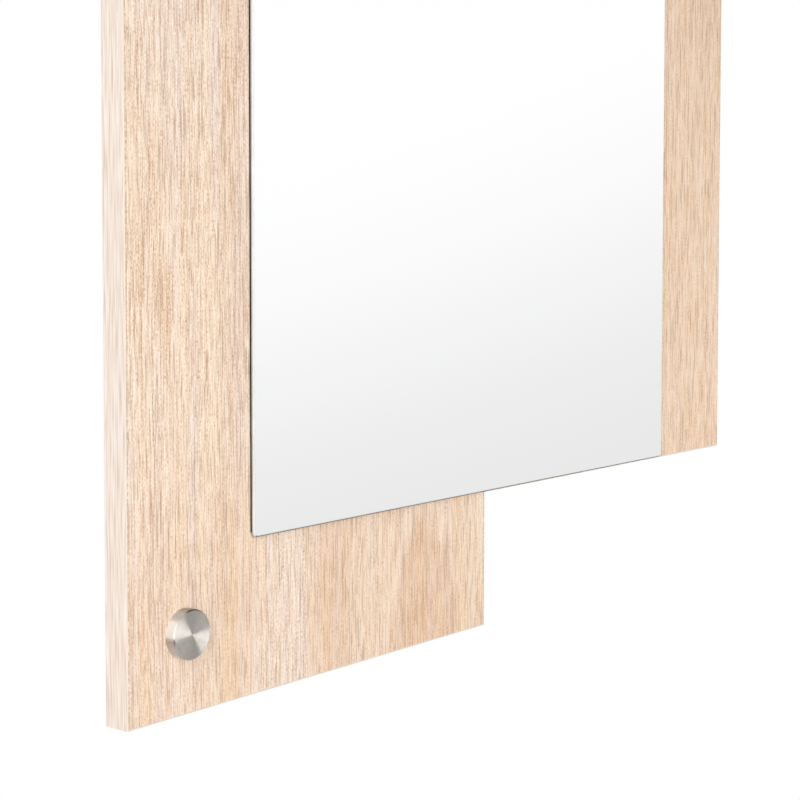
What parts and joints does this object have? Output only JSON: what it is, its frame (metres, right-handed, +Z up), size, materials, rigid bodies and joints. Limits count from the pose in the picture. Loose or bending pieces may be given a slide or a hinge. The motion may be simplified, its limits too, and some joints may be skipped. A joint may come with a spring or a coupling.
{
  "type": "wall mirror",
  "caption": "Wall mirror with a rectangular glass taped over staggered oak-decor boards, hung by corner screws hidden under push-on turned steel caps.",
  "frame": {"origin": "on the wall plane, midway between the two wall-fixing bores, which is the panel's centre", "axes": "+X to the right as seen from the front, +Y into the wall, +Z up"},
  "size_m": [0.6, 0.0248, 0.64],
  "materials": {
    "oak_board": "light oak decor laminate with fine vertical grain, matt",
    "oak_edging": "plastic edging in a paler oak decor, matt",
    "mirror_glass": "silvered float glass with a ground edge",
    "mirror_backing": "grey protective film",
    "foam_tape": "dark closed-cell foam",
    "dowel_wood": "plain beech",
    "zinc_steel": "bright zinc plating",
    "turned_steel": "stainless steel, turned face with fine rings",
    "black_rubber": "matt black",
    "pad_rubber": "pale grey, matt"
  },
  "bodies": {
    "panel": {"left_board": "oak_board", "right_board": "oak_board", "left_board_outer_edging": "oak_edging", "left_board_inner_edging": "oak_edging", "left_board_top_edging": "oak_edging", "left_board_bottom_edging": "oak_edging", "right_board_outer_edging": "oak_edging", "right_board_inner_edging": "oak_edging", "right_board_top_edging": "oak_edging", "right_board_bottom_edging": "oak_edging", "mirror_glass": "mirror_glass", "mirror_backing": "mirror_backing", "left_outer_tape": "foam_tape", "left_inner_tape": "foam_tape", "right_outer_tape": "foam_tape", "right_inner_tape": "foam_tape", "seam_dowels": "dowel_wood", "lower_joining_plate": "zinc_steel", "upper_joining_plate": "zinc_steel", "joining_screws": "zinc_steel", "lower_wall_bush": "zinc_steel", "upper_wall_bush": "zinc_steel", "lower_grip_ring": "black_rubber", "upper_grip_ring": "black_rubber", "left_upper_pad": "pad_rubber", "left_lower_pad": "pad_rubber", "right_upper_pad": "pad_rubber", "right_lower_pad": "pad_rubber"},
    "lower_cap": {"lower_cap": "turned_steel"},
    "upper_cap": {"upper_cap": "turned_steel"}
  },
  "joints": [
    {"name": "lower_cap_pull", "type": "slide", "parent": "panel", "child": "lower_cap", "axis": [0, -1, 0], "range_m": [0, 0.02]},
    {"name": "upper_cap_pull", "type": "slide", "parent": "panel", "child": "upper_cap", "axis": [0, -1, 0], "range_m": [0, 0.02]}
  ]
}
